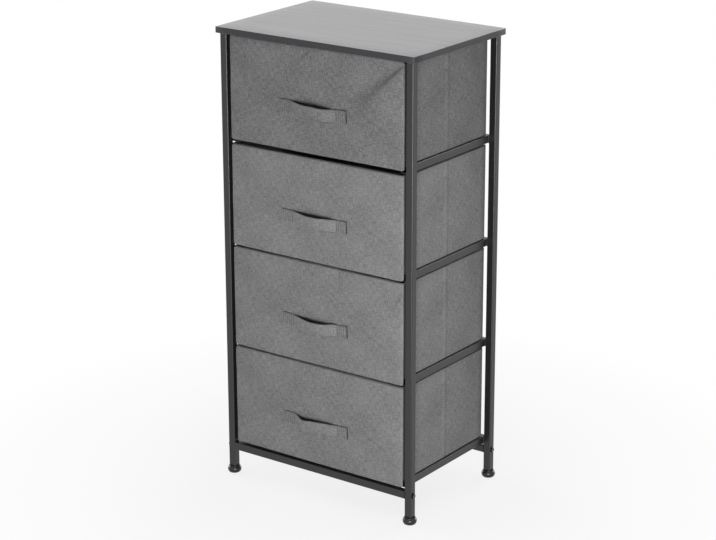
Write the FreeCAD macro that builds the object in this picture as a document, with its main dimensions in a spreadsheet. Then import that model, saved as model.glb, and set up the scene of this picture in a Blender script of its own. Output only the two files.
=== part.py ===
import FreeCAD, Part
import Sketcher
import math
import os

# Fabric drawer dresser: a steel tube frame with a laminated top board, four soft fabric drawers that
# rest on tube rails, and four screw-in levelling feet.
# Lengths are in millimetres. +X is to the right, the drawers face -Y and +Z is up. The origin is on
# the floor, in the middle of the overall width and depth.

doc = FreeCAD.newDocument("fabric_drawer_dresser")
sheet = doc.addObject("Spreadsheet::Sheet", "Sizes")

sizes = [
    ("total_height", 900.0),
    # top board
    ("board_width", 450.0),
    ("board_depth", 300.0),
    ("board_thickness", 12.0),
    ("board_edge_bevel", 0.8),
    ("side_overhang", 6.0),
    ("front_overhang", 6.0),
    ("rear_overhang", 6.0),
    # posts, rails, crossbars and the strips under the board
    ("post_tube", 15.0),
    ("rail_tube", 15.0),
    ("crossbar_tube", 15.0),
    ("tube_wall", 1.2),
    ("tube_corner", 2.0),
    ("rail_floor_height", 70.5),
    ("front_gap", 3.5),
    ("crossbar_drop", 5.0),
    ("strip_thickness", 3.0),
    ("strip_width", 15.0),
    # feet and the plugs that carry them
    ("foot_diameter", 27.0),
    ("foot_height", 14.0),
    ("foot_bulge", 3.0),
    ("foot_recess_diameter", 17.0),
    ("foot_recess_depth", 1.2),
    ("stud_diameter", 6.0),
    ("stud_in_foot", 9.0),
    ("stud_clearance", 0.08),
    ("stud_bevel", 0.8),
    ("plug_flange", 2.0),
    ("plug_depth", 18.0),
    ("plug_fit", 0.1),
    # crossbar screws and their threaded inserts
    ("screw_diameter", 6.0),
    ("screw_head_diameter", 11.0),
    ("screw_head_height", 3.2),
    ("screw_bite", 13.0),
    ("screw_clearance", 0.15),
    ("hex_key_size", 4.0),
    ("hex_key_depth", 1.8),
    ("insert_length", 16.0),
    # screws that hold the top board
    ("board_screw_diameter", 3.5),
    ("board_screw_head_diameter", 7.5),
    ("board_screw_head_height", 2.0),
    ("board_screw_bite", 9.0),
    ("board_screw_tip", 2.5),
    ("board_screw_clearance", 0.05),
    ("board_screw_margin", 30.0),
    # fabric drawers
    ("drawer_side_clearance", 4.4),
    ("drawer_rear_clearance", 1.5),
    ("drawer_seat_clearance", 0.2),
    ("face_recess", 1.5),
    ("top_front_raise", 5.0),
    ("front_stop_clearance", 0.3),
    ("fabric", 1.2),
    ("stiffener", 3.0),
    ("fold_gap", 2.0),
    ("bottom_board_thickness", 3.0),
    ("bottom_board_clearance", 1.0),
    ("cover_corner", 2.5),
    # strap handles
    ("strap_length", 150.0),
    ("strap_width", 24.0),
    ("strap_thickness", 2.0),
    ("strap_tab", 27.0),
    ("strap_bow", 11.0),
    ("strap_bend", 14.0),
    ("strap_below_middle", 16.0),
]
for row, (alias, number) in enumerate(sizes, start=1):
    sheet.set("A%d" % row, alias)
    sheet.set("B%d" % row, str(number))
    sheet.setAlias("B%d" % row, alias)
doc.recompute()
value = dict(sizes)


# The formula text with every size name read from the sheet. Words and signs are kept apart by spaces.
def bound(text):
    return " ".join("Sizes." + word if word in value else word for word in text.split())


# Positions that several pieces share. The strap handles reach out in front of the board, so the
# board lies a little behind the middle of the overall depth.
strap_reach = "( strap_bow + strap_thickness - front_overhang - face_recess )"
board_front = "( ( " + strap_reach + " - board_depth ) / 2 )"
board_rear = "( " + board_front + " + board_depth )"
post_front = "( " + board_front + " + front_overhang )"
post_rear = "( " + board_rear + " - rear_overhang )"
post_outside = "( board_width / 2 - side_overhang )"
post_inside = "( " + post_outside + " - post_tube )"
board_underside = "( total_height - board_thickness )"
tube_foot = "( foot_height + plug_flange )"
rail_pitch = "( ( " + board_underside + " - front_gap - rail_floor_height ) / 4 )"
front_height = "( " + rail_pitch + " - front_gap )"
face_front = "( " + post_front + " + face_recess )"
panel_thickness = "( 2 * fabric + stiffener )"
rail_front = "( " + face_front + " + " + panel_thickness + " + front_stop_clearance )"
rail_rear = "( " + post_rear + " + " + post_front + " - " + rail_front + " )"
rail_length = "( " + rail_rear + " - " + rail_front + " )"
rail_middle = "( ( " + rail_front + " + " + rail_rear + " ) / 2 )"
crossbar_middle = "( rail_floor_height - crossbar_drop - crossbar_tube / 2 )"
insert_size = "( crossbar_tube - 2 * tube_wall - 2 * plug_fit )"
inner_corner = "tube_corner - 0.5 * tube_wall"

sides = (("left", "-1"), ("right", "1"))
post_ends = (("front", post_front + " + post_tube / 2"), ("rear", post_rear + " - post_tube / 2"))
crossbar_ends = (("front", post_front + " + crossbar_tube / 2"),
                 ("rear", post_rear + " - crossbar_tube / 2"))
levels = (1, 2, 3, 4)


# Underside of the rails that carry the drawer of one level. Level 1 is the uppermost.
def rail_underside(level):
    return "( rail_floor_height + %d * %s )" % (len(levels) - level, rail_pitch)


def place(item, across=None, along=None, up=None):
    for axis, text in (("x", across), ("y", along), ("z", up)):
        if text is not None:
            item.setExpression("Placement.Base." + axis, bound(text))


def new_body(name):
    body = doc.addObject("PartDesign::Body", name)
    body.Label = name
    return body


def new_sketch(body, name, role, offset=None):
    sketch = body.newObject("Sketcher::SketchObject", name)
    plane = [item for item in body.Origin.OriginFeatures if item.Role == role][0]
    sketch.AttachmentSupport = [(plane, "")]
    sketch.MapMode = "FlatFace"
    if offset is not None:
        sketch.setExpression("AttachmentOffset.Base.z", bound(offset))
    return sketch


# Adds a dimension to a sketch and binds it to a formula.
def drive(sketch, text, *constraint):
    index = sketch.addConstraint(Sketcher.Constraint(*constraint))
    sketch.setExpression("Constraints[%d]" % index, bound(text))


# Adds four lines that close into an upright rectangle, all but the lowest held straight, and returns
# the index of the lowest.
def add_frame(sketch):
    start = sketch.GeometryCount
    corners = [FreeCAD.Vector(x, y, 0) for x, y in ((-9, 1), (9, 1), (9, 11), (-9, 11))]
    for number in range(4):
        sketch.addGeometry(Part.LineSegment(corners[number], corners[(number + 1) % 4]), False)
    for number in range(4):
        following = start + (number + 1) % 4
        sketch.addConstraint(Sketcher.Constraint("Coincident", start + number, 2, following, 1))
    sketch.addConstraint(Sketcher.Constraint("Vertical", start + 1))
    sketch.addConstraint(Sketcher.Constraint("Horizontal", start + 2))
    sketch.addConstraint(Sketcher.Constraint("Vertical", start + 3))
    return start


# A rectangle centred on the sketch's origin.
def add_centred_rectangle(sketch, width, height):
    start = add_frame(sketch)
    sketch.addConstraint(Sketcher.Constraint("Horizontal", start))
    sketch.addConstraint(Sketcher.Constraint("Symmetric", start, 1, start + 1, 2, -1, 1))
    drive(sketch, width, "DistanceX", start, 1, start, 2, 18.0)
    drive(sketch, height, "DistanceY", start + 1, 1, start + 1, 2, 10.0)


# A rectangle centred on the sketch's vertical axis, from low to high.
def add_rectangle(sketch, width, low, high):
    start = add_frame(sketch)
    sketch.addConstraint(Sketcher.Constraint("Symmetric", start, 1, start, 2, -2))
    drive(sketch, width, "DistanceX", start, 1, start, 2, 18.0)
    drive(sketch, low, "DistanceY", -1, 1, start, 1, 1.0)
    drive(sketch, high, "DistanceY", -1, 1, start + 2, 1, 11.0)


def add_circle(sketch, across, along, diameter):
    circle = Part.Circle(FreeCAD.Vector(5, 5, 0), FreeCAD.Vector(0, 0, 1), 2)
    index = sketch.addGeometry(circle, False)
    drive(sketch, across, "DistanceX", -1, 1, index, 3, 5.0)
    drive(sketch, along, "DistanceY", -1, 1, index, 3, 5.0)
    drive(sketch, diameter, "Diameter", index, 4.0)


# A closed outline through corners, each a pair of formulas (across, up) and a rough starting point.
# Where arc_radius is given, the run after corner arc_after is an arc that bulges to the right.
def add_outline(sketch, corners, arc_after=None, arc_radius=None):
    count = len(corners)
    for number in range(count):
        first = FreeCAD.Vector(*corners[number][2], 0)
        second = FreeCAD.Vector(*corners[(number + 1) % count][2], 0)
        if number == arc_after:
            middle = (first + second) / 2 + FreeCAD.Vector((second - first).Length / 4, 0, 0)
            sketch.addGeometry(Part.Arc(first, middle, second), False)
        else:
            sketch.addGeometry(Part.LineSegment(first, second), False)
    for number in range(count):
        sketch.addConstraint(Sketcher.Constraint("Coincident", number, 2, (number + 1) % count, 1))
    for number, (across, up, rough) in enumerate(corners):
        drive(sketch, across, "DistanceX", -1, 1, number, 1, float(rough[0]))
        drive(sketch, up, "DistanceY", -1, 1, number, 1, float(rough[1]))
    if arc_after is not None:
        drive(sketch, arc_radius, "Radius", arc_after, sketch.Geometry[arc_after].Radius)


def pad(body, sketch, name, length, symmetric=False):
    feature = body.newObject("PartDesign::Pad", name)
    feature.Profile = sketch
    feature.SideType = "Symmetric" if symmetric else "One side"
    feature.setExpression("Length", bound(length))
    doc.recompute()
    return feature


# Cuts a sketch out of the body: through everything both ways, or to a depth against or along +axis.
def pocket(body, sketch, name, depth=None, upward=False):
    before = body.Shape.Volume
    feature = body.newObject("PartDesign::Pocket", name)
    feature.Profile = sketch
    if depth is None:
        feature.Type = "ThroughAll"
        feature.SideType = "Symmetric"
    else:
        feature.setExpression("Length", bound(depth))
        feature.Reversed = upward
    doc.recompute()
    if body.Shape.Volume > before - 1e-6:
        raise RuntimeError(body.Label + ": " + name + " cuts nothing")
    return feature


# A full turn of a sketch about the upright axis.
def revolve(body, sketch, name):
    feature = body.newObject("PartDesign::Revolution", name)
    feature.Profile = sketch
    feature.ReferenceAxis = (sketch, ["V_Axis"])
    feature.Angle = 360.0
    doc.recompute()
    return feature


def round_or_bevel(body, kind, base, edges, text):
    feature = body.newObject("PartDesign::" + kind, kind)
    feature.Base = (base, edges)
    feature.setExpression("Radius" if kind == "Fillet" else "Size", bound(text))
    doc.recompute()
    return feature


# Names of the straight edges along a direction whose middles pass a test.
def edges_along(shape, direction, wanted=None):
    found = []
    for number, edge in enumerate(shape.Edges, start=1):
        if edge.Curve.TypeId != "Part::GeomLine":
            continue
        run = edge.Vertexes[-1].Point.sub(edge.Vertexes[0].Point)
        parallel = run.cross(direction).Length < 1e-6
        if parallel and (wanted is None or wanted(edge.CenterOfMass)):
            found.append("Edge%d" % number)
    return found


# A hollow square section with rounded corners, swept along the normal of one origin plane.
tube_direction = {"XY_Plane": FreeCAD.Vector(0, 0, 1),
                  "XZ_Plane": FreeCAD.Vector(0, 1, 0),
                  "YZ_Plane": FreeCAD.Vector(1, 0, 0)}


def square_tube(name, role, size, length, symmetric):
    body = new_body(name)
    direction = tube_direction[role]
    outline = new_sketch(body, "outline", role)
    add_centred_rectangle(outline, size, size)
    solid = pad(body, outline, "length", length, symmetric)
    round_or_bevel(body, "Fillet", solid, edges_along(solid.Shape, direction), "tube_corner")
    hollow = new_sketch(body, "hollow", role)
    add_centred_rectangle(hollow, size + " - 2 * tube_wall", size + " - 2 * tube_wall")
    bore = pocket(body, hollow, "bore")
    half = value[size] / 2 - value["tube_wall"]

    def inside(middle):
        across = middle - direction * middle.dot(direction)
        return max(abs(across.x), abs(across.y), abs(across.z)) < half + 0.01

    round_or_bevel(body, "Fillet", bore, edges_along(bore.Shape, direction, inside), inner_corner)
    return body


parts = []

# Posts: tubes from the plugs up to the board, each with a hole for its crossbar screw.
for end, post_along in post_ends:
    for side, sign in sides:
        post = square_tube("post_%s_%s" % (end, side), "XY_Plane", "post_tube",
                           board_underside + " - " + tube_foot, False)
        hole = new_sketch(post, "screw_hole", "YZ_Plane")
        add_circle(hole, "0", crossbar_middle + " - " + tube_foot, "screw_diameter + 2 * screw_clearance")
        pocket(post, hole, "screw_passage")
        place(post, sign + " * ( " + post_outside + " - post_tube / 2 )", post_along, tube_foot)
        parts.append(post)

# Rails: tubes welded to the inner faces of the posts. Each pair carries one drawer, and their front
# ends stop the drawer's front panel.
for side, sign in sides:
    for level in levels:
        rail = square_tube("rail_%s_%d" % (side, level), "XZ_Plane", "rail_tube", rail_length, True)
        place(rail, sign + " * ( " + post_inside + " - rail_tube / 2 )", rail_middle,
              rail_underside(level) + " + rail_tube / 2")
        parts.append(rail)

# Crossbars: one at the front and one at the rear, low between the posts.
for end, crossbar_along in crossbar_ends:
    crossbar = square_tube("crossbar_" + end, "YZ_Plane", "crossbar_tube", "2 * " + post_inside, True)
    place(crossbar, "0", crossbar_along, crossbar_middle)
    parts.append(crossbar)

# Threaded inserts pressed into the crossbar ends.
inserts = []
for end, crossbar_along in crossbar_ends:
    for side, sign in sides:
        insert = new_body("insert_%s_%s" % (end, side))
        outline = new_sketch(insert, "outline", "YZ_Plane")
        add_centred_rectangle(outline, insert_size, insert_size)
        block = pad(insert, outline, "block", "insert_length", True)
        corners = edges_along(block.Shape, tube_direction["YZ_Plane"])
        round_or_bevel(insert, "Fillet", block, corners, inner_corner)
        thread = new_sketch(insert, "thread_hole", "YZ_Plane")
        add_circle(thread, "0", "0", "screw_diameter + 2 * stud_clearance")
        pocket(insert, thread, "thread")
        place(insert, sign + " * ( " + post_inside + " - insert_length / 2 )", crossbar_along, crossbar_middle)
        inserts.append(insert)


# A regular hexagon about the sketch's origin, inside a construction circle.
def add_hexagon(sketch, across_flats):
    ring = sketch.addGeometry(Part.Circle(FreeCAD.Vector(0, 0, 0), FreeCAD.Vector(0, 0, 1), 2), True)
    sketch.addConstraint(Sketcher.Constraint("Coincident", ring, 3, -1, 1))
    angles = [math.radians(60 * number + 30) for number in range(6)]
    corners = [FreeCAD.Vector(2 * math.cos(angle), 2 * math.sin(angle), 0) for angle in angles]
    first = sketch.GeometryCount
    for number in range(6):
        sketch.addGeometry(Part.LineSegment(corners[number], corners[(number + 1) % 6]), False)
    for number in range(6):
        following = first + (number + 1) % 6
        sketch.addConstraint(Sketcher.Constraint("Coincident", first + number, 2, following, 1))
        sketch.addConstraint(Sketcher.Constraint("PointOnObject", first + number, 1, ring))
    for number in range(1, 6):
        sketch.addConstraint(Sketcher.Constraint("Equal", first, first + number))
    sketch.addConstraint(Sketcher.Constraint("Vertical", first + 5))
    drive(sketch, across_flats + " / cos(30deg)", "Diameter", ring, 4.0)


# Crossbar screws: domed heads with hexagon sockets against the outer faces of the posts.
screws = []
for end, crossbar_along in crossbar_ends:
    for side, sign in sides:
        screw = new_body("screw_%s_%s" % (end, side))
        turned = new_sketch(screw, "turned_profile", "XZ_Plane")
        tip = "0 - post_tube - screw_bite"
        add_outline(turned, [
            ("0", tip, (0, -28)),
            ("screw_diameter / 2", tip, (3, -28)),
            ("screw_diameter / 2", "0", (3, 0)),
            ("screw_head_diameter / 2", "0", (5.5, 0)),
            ("screw_head_diameter / 2", "0.2 * screw_head_height", (5.5, 0.6)),
            ("screw_head_diameter * 0.45", "0.55 * screw_head_height", (5, 1.8)),
            ("screw_head_diameter * 0.36", "0.85 * screw_head_height", (4, 2.7)),
            ("screw_head_diameter * 0.25", "screw_head_height", (2.7, 3.2)),
            ("0", "screw_head_height", (0, 3.2)),
        ])
        revolve(screw, turned, "turned")
        socket = new_sketch(screw, "socket_outline", "XY_Plane", "screw_head_height")
        add_hexagon(socket, "hex_key_size")
        pocket(screw, socket, "socket", "hex_key_depth")
        screw.Placement.Rotation = FreeCAD.Rotation(FreeCAD.Vector(0, 1, 0), 90 * int(sign))
        place(screw, sign + " * " + post_outside, crossbar_along, crossbar_middle)
        screws.append(screw)

# Strips under the board, welded between the posts like the rails, with three screw holes each.
hole_pitch = "( ( " + rail_length + " - 2 * board_screw_margin ) / 2 )"
strip_middle = "( " + post_inside + " - strip_width / 2 )"
hole_diameter = "board_screw_diameter + 2 * board_screw_clearance"
for side, sign in sides:
    strip = new_body("top_strip_" + side)
    outline = new_sketch(strip, "outline", "XY_Plane")
    add_rectangle(outline, "strip_width", "0", rail_length)
    pad(strip, outline, "plate", "strip_thickness")
    mark = new_sketch(strip, "hole_mark", "XY_Plane")
    add_circle(mark, "0", "board_screw_margin", hole_diameter)
    hole = pocket(strip, mark, "hole")
    row = strip.newObject("PartDesign::LinearPattern", "hole_row")
    row.Originals = [hole]
    row.Direction = (mark, ["V_Axis"])
    row.Mode = "Spacing"
    row.Occurrences = 3
    row.setExpression("Offset", bound(hole_pitch))
    strip.Tip = row
    place(strip, sign + " * " + strip_middle, rail_front, board_underside + " - strip_thickness")
    parts.append(strip)

# Top board with bevelled edges and blind pilot holes over the holes in the strips.
board = new_body("top_board")
outline = new_sketch(board, "outline", "XY_Plane")
add_rectangle(outline, "board_width", "0", "board_depth")
slab = pad(board, outline, "slab", "board_thickness")
rim = edges_along(slab.Shape, FreeCAD.Vector(1, 0, 0)) + edges_along(slab.Shape, FreeCAD.Vector(0, 1, 0))
round_or_bevel(board, "Chamfer", slab, rim, "board_edge_bevel")
mark = new_sketch(board, "pilot_mark", "XY_Plane")
for side, sign in sides:
    add_circle(mark, sign + " * " + strip_middle, rail_front + " - " + board_front + " + board_screw_margin",
               hole_diameter)
pilot = pocket(board, mark, "pilot_holes", "board_screw_bite + board_screw_clearance", upward=True)
rows = board.newObject("PartDesign::LinearPattern", "pilot_rows")
rows.Originals = [pilot]
rows.Direction = (mark, ["V_Axis"])
rows.Mode = "Spacing"
rows.Occurrences = 3
rows.setExpression("Offset", bound(hole_pitch))
board.Tip = rows
place(board, "0", board_front, board_underside)
parts.append(board)

# Board screws: pan heads under the strips.
board_screws = []
for side, sign in sides:
    for number in range(3):
        screw = new_body("board_screw_%s_%d" % (side, number + 1))
        turned = new_sketch(screw, "turned_profile", "XZ_Plane")
        reach = "( strip_thickness + board_screw_bite )"
        add_outline(turned, [
            ("0", "0 - board_screw_head_height", (0, -2)),
            ("board_screw_head_diameter * 0.35", "0 - board_screw_head_height", (2.6, -2)),
            ("board_screw_head_diameter / 2", "-0.4 * board_screw_head_height", (3.7, -1)),
            ("board_screw_head_diameter / 2", "0", (3.7, 0)),
            ("board_screw_diameter / 2", "0", (1.7, 0)),
            ("board_screw_diameter / 2", reach + " - board_screw_tip", (1.7, 9)),
            ("0", reach, (0, 12)),
        ])
        revolve(screw, turned, "turned")
        place(screw, sign + " * " + strip_middle,
              rail_front + " + board_screw_margin + %d * " % number + hole_pitch,
              board_underside + " - strip_thickness")
        board_screws.append(screw)

# Feet, their studs, and the plugs that close the lower ends of the posts and carry the studs.
plugs = []
for end, post_along in post_ends:
    for side, sign in sides:
        across = sign + " * ( " + post_outside + " - post_tube / 2 )"
        plug = new_body("plug_%s_%s" % (end, side))
        flange_outline = new_sketch(plug, "flange_outline", "XY_Plane")
        add_centred_rectangle(flange_outline, "post_tube", "post_tube")
        flange = pad(plug, flange_outline, "flange", "plug_flange")
        corners = edges_along(flange.Shape, tube_direction["XY_Plane"])
        round_or_bevel(plug, "Fillet", flange, corners, "tube_corner")
        stem_outline = new_sketch(plug, "stem_outline", "XY_Plane", "plug_flange")
        stem_size = "post_tube - 2 * tube_wall - 2 * plug_fit"
        add_centred_rectangle(stem_outline, stem_size, stem_size)
        stem = pad(plug, stem_outline, "stem", "plug_depth")

        def on_stem(middle):
            return middle.z > value["plug_flange"] + 0.01

        corners = edges_along(stem.Shape, tube_direction["XY_Plane"], on_stem)
        round_or_bevel(plug, "Fillet", stem, corners, inner_corner)
        thread = new_sketch(plug, "thread_hole", "XY_Plane")
        add_circle(thread, "0", "0", "stud_diameter + 2 * stud_clearance")
        pocket(plug, thread, "thread")
        place(plug, across, post_along, "foot_height")
        plugs.append(plug)

        # The foot is a rounded disc with a shallow recess in its top and a socket for its stud.
        foot = new_body("foot_%s_%s" % (end, side))
        turned = new_sketch(foot, "turned_profile", "XZ_Plane")
        rim_radius = "foot_diameter / 2 - foot_bulge"
        recess_floor = "foot_height - foot_recess_depth"
        add_outline(turned, [
            ("0", "0", (0, 0)),
            (rim_radius, "0", (10.8, 0)),
            (rim_radius, "foot_height", (10.8, 14)),
            ("foot_recess_diameter / 2", "foot_height", (8.5, 14)),
            ("foot_recess_diameter / 2", recess_floor, (8.5, 12.8)),
            ("stud_diameter / 2", recess_floor, (3, 12.8)),
            ("stud_diameter / 2", "foot_height - stud_in_foot", (3, 5)),
            ("0", "foot_height - stud_in_foot", (0, 5)),
        ], 1, "( foot_height ^ 2 / 4 + foot_bulge ^ 2 ) / ( 2 * foot_bulge )")
        revolve(foot, turned, "turned")
        place(foot, across, post_along)
        parts.append(foot)

        # The steel stud stands in the foot and runs up through the plug.
        shaft = doc.addObject("Part::Cylinder", "shaft_%s_%s" % (end, side))
        shaft.setExpression("Radius", bound("stud_diameter / 2"))
        shaft.setExpression("Height", bound("stud_in_foot + plug_flange + plug_depth"))
        doc.recompute()
        heights = [edge.CenterOfMass.z for edge in shaft.Shape.Edges]
        stud = doc.addObject("Part::Chamfer", "stud_%s_%s" % (end, side))
        stud.Base = shaft
        stud.Edges = [(heights.index(max(heights)) + 1, value["stud_bevel"], value["stud_bevel"])]
        place(stud, across, post_along, "foot_height - stud_in_foot")
        parts.append(stud)

# Drawers. Each is modelled with its front face at y = 0 and the lower edge of its front panel at
# z = 0. The front panel hangs below the body and covers the front ends of the rails.
drawer_width = "( 2 * " + post_inside + " - 2 * drawer_side_clearance )"
drawer_depth = "( " + post_rear + " - post_tube - drawer_rear_clearance - " + face_front + " )"
body_height = "( " + front_height + " - rail_tube - drawer_seat_clearance )"
lined_width = "( " + drawer_width + " - 2 * fabric )"
inner_width = "( " + lined_width + " - 2 * stiffener )"
lining_front = "( fabric + stiffener )"
stiffener_rear = "( " + drawer_depth + " - fabric )"
lining_rear = "( " + stiffener_rear + " - stiffener )"
clear_width = "( " + inner_width + " - 2 * fabric )"
fold_front = "( ( " + lining_front + " + " + stiffener_rear + " - fold_gap ) / 2 )"
fold_rear = "( " + fold_front + " + fold_gap )"
tray_width = "( " + clear_width + " - 2 * bottom_board_clearance )"
tray_front = "( " + lining_front + " + fabric + bottom_board_clearance )"
tray_rear = "( " + lining_rear + " - fabric - bottom_board_clearance )"


# The place in the dresser of a piece that is at a place in the drawer of one level.
def seat(item, level, across="0", along="0", up="0"):
    lifted = " + top_front_raise + " if level == 1 else " + "
    place(item, across, face_front + " + " + along, rail_underside(level) + lifted + up)


# A flat board, given its lowest corner and its far sides in the drawer.
def flat_board(name, level, left, width, front, rear, bottom, top):
    item = doc.addObject("Part::Box", name)
    item.setExpression("Length", bound(width))
    item.setExpression("Width", bound(rear + " - " + front))
    item.setExpression("Height", bound(top + " - " + bottom))
    seat(item, level, left, front, bottom)
    return item


# Outer cover: a sewn shell, open at the top, with a closed pocket in its front panel for a board.
def outer_cover(name, level, floor, rim):
    cover = new_body(name)
    body_outline = new_sketch(cover, "body_outline", "XY_Plane", floor)
    add_rectangle(body_outline, drawer_width, "0", drawer_depth)
    pad(cover, body_outline, "box", body_height)
    panel_outline = new_sketch(cover, "panel_outline", "XY_Plane")
    add_rectangle(panel_outline, drawer_width, "0", panel_thickness)
    panel = pad(cover, panel_outline, "front_panel", front_height)
    limits = panel.Shape.BoundBox

    def outer_corner(middle):
        at_side = abs(middle.x) > limits.XMax - 0.01
        at_end = middle.y < limits.YMin + 0.01 or middle.y > limits.YMax - 0.01
        return at_side and at_end

    upright = edges_along(panel.Shape, tube_direction["XY_Plane"], outer_corner)
    round_or_bevel(cover, "Fillet", panel, upright, "cover_corner")
    cavity = new_sketch(cover, "cavity_outline", "XY_Plane", rim)
    add_rectangle(cavity, lined_width, lining_front, stiffener_rear)
    pocket(cover, cavity, "cavity", body_height + " - fabric")
    sleeve = new_sketch(cover, "sleeve_outline", "XY_Plane", "fabric")
    add_rectangle(sleeve, lined_width, "fabric", lining_front)
    pocket(cover, sleeve, "board_pocket", front_height + " - 2 * fabric", upward=True)
    seat(cover, level)
    return cover


# Lining: a thin inner shell whose hem folds outwards over the tops of the boards.
def inner_lining(name, level, floor, rim, hem):
    lining = new_body(name)
    bag_outline = new_sketch(lining, "bag_outline", "XY_Plane", floor + " + fabric")
    add_rectangle(bag_outline, inner_width, lining_front, lining_rear)
    pad(lining, bag_outline, "bag", body_height + " - fabric")
    hem_outline = new_sketch(lining, "hem_outline", "XY_Plane", hem)
    add_rectangle(hem_outline, lined_width, lining_front, stiffener_rear)
    pad(lining, hem_outline, "hem", "fabric")
    hollow = new_sketch(lining, "hollow_outline", "XY_Plane", rim)
    add_rectangle(hollow, clear_width, lining_front + " + fabric", lining_rear + " - fabric")
    pocket(lining, hollow, "hollow", body_height + " - 2 * fabric")
    seat(lining, level)
    return lining


# Strap handle: a flat band swept along two tabs and a bow that stands off the front panel. The bow
# is one arc that meets each tab through a smaller arc, tangent at both ends.
def strap_handle(name, level):
    strap = new_body(name)
    half = value["strap_length"] / 2
    bow_start = half - value["strap_tab"]
    bow = value["strap_bow"]
    bend = value["strap_bend"]
    turn = 2 * math.atan(bow / bow_start)
    bow_radius = "( ( strap_length / 2 - strap_tab ) ^ 2 + strap_bow ^ 2 ) / ( 2 * strap_bow ) - strap_bend"

    def on_bend(angle):
        return bow_start - bend * math.sin(angle), -bend * (1 - math.cos(angle))

    near = on_bend(turn)
    mid = on_bend(turn / 2)
    path = new_sketch(strap, "path", "XY_Plane")
    points = [FreeCAD.Vector(x, y, 0) for x, y in (
        (-half, 0), (-bow_start, 0), (-mid[0], mid[1]), (-near[0], near[1]), (0, -bow),
        (near[0], near[1]), (mid[0], mid[1]), (bow_start, 0), (half, 0))]
    path.addGeometry(Part.LineSegment(points[0], points[1]), False)
    path.addGeometry(Part.Arc(points[1], points[2], points[3]), False)
    path.addGeometry(Part.Arc(points[3], points[4], points[5]), False)
    path.addGeometry(Part.Arc(points[5], points[6], points[7]), False)
    path.addGeometry(Part.LineSegment(points[7], points[8]), False)
    path.addConstraint(Sketcher.Constraint("Tangent", 0, 2, 1, 2))
    path.addConstraint(Sketcher.Constraint("Tangent", 1, 1, 2, 1))
    path.addConstraint(Sketcher.Constraint("Tangent", 2, 2, 3, 2))
    path.addConstraint(Sketcher.Constraint("Tangent", 3, 1, 4, 1))
    path.addConstraint(Sketcher.Constraint("PointOnObject", 0, 1, -1))
    path.addConstraint(Sketcher.Constraint("Horizontal", 0))
    path.addConstraint(Sketcher.Constraint("Symmetric", 0, 1, 4, 2, -2))
    path.addConstraint(Sketcher.Constraint("Symmetric", 0, 2, 4, 1, -2))
    path.addConstraint(Sketcher.Constraint("Equal", 1, 3))
    drive(path, "strap_length", "DistanceX", 0, 1, 4, 2, 2 * half)
    drive(path, "strap_tab", "DistanceX", 0, 1, 0, 2, half - bow_start)
    drive(path, "strap_bend", "Radius", 1, bend)
    drive(path, bow_radius, "Radius", 2, path.Geometry[2].Radius)
    section = new_sketch(strap, "section", "YZ_Plane", "-0.5 * strap_length")
    add_centred_rectangle(section, "strap_thickness", "strap_width")
    doc.recompute()
    band = strap.newObject("PartDesign::AdditivePipe", "band")
    band.Profile = section
    band.Spine = (path, ["Edge%d" % (number + 1) for number in range(5)])
    band.Transition = "Right corner"
    doc.recompute()
    seat(strap, level, "0", "-0.5 * strap_thickness", front_height + " / 2 - strap_below_middle")
    return strap


side_boards = []
for level in levels:
    name = "drawer_%d_" % level
    lift = "top_front_raise" if level == 1 else "0"
    floor = "( rail_tube + drawer_seat_clearance - " + lift + " )"
    rim = "( " + floor + " + " + body_height + " )"
    hem = "( " + rim + " - fabric )"
    sheath = "( " + floor + " + fabric )"
    tray_floor = "( " + sheath + " + fabric )"
    parts.append(outer_cover(name + "cover", level, floor, rim))
    parts.append(inner_lining(name + "lining", level, floor, rim, hem))
    parts.append(flat_board(name + "front_board", level, "-0.5 * " + lined_width, lined_width,
                            "fabric", lining_front, "fabric", "( " + front_height + " - fabric )"))
    parts.append(flat_board(name + "back_board", level, "-0.5 * " + inner_width, inner_width,
                            lining_rear, stiffener_rear, sheath, hem))
    parts.append(flat_board(name + "bottom_board", level, "-0.5 * " + tray_width, tray_width,
                            tray_front, tray_rear, tray_floor,
                            "( " + tray_floor + " + bottom_board_thickness )"))
    parts.append(strap_handle(name + "handle", level))

    # Each side is stiffened by two boards with a fold between them.
    leaves = []
    for side, edge in (("left", "-0.5 * " + lined_width), ("right", "0.5 * " + lined_width + " - stiffener")):
        for half, front, rear in (("front", lining_front, fold_front), ("rear", fold_rear, stiffener_rear)):
            leaves.append(flat_board(name + side + "_" + half + "_leaf", level, edge, "stiffener",
                                     front, rear, sheath, hem))
    side_boards.append((name + "side_boards", leaves))

# Identical small pieces, and the leaves of one drawer, are kept together as separate solids.
groups = [("crossbar_screws", screws), ("crossbar_inserts", inserts), ("board_screws", board_screws),
          ("post_plugs", plugs)] + side_boards
for name, members in groups:
    group = doc.addObject("Part::Compound", name)
    group.Label = name
    group.Links = members
    parts.append(group)

doc.recompute()
for item in doc.Objects:
    if "Invalid" in item.State or "Error" in item.State:
        raise RuntimeError(item.Label + " did not recompute")
for item in parts:
    if item.Shape.isNull() or not item.Shape.isValid():
        raise RuntimeError(item.Label + " has no valid shape")

os.makedirs("parts", exist_ok=True)
for item in parts:
    item.Shape.exportStep("parts/" + item.Label + ".step")
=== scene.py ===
import math

import bmesh
import bpy
import numpy as np
from mathutils import Matrix, Vector


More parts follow.
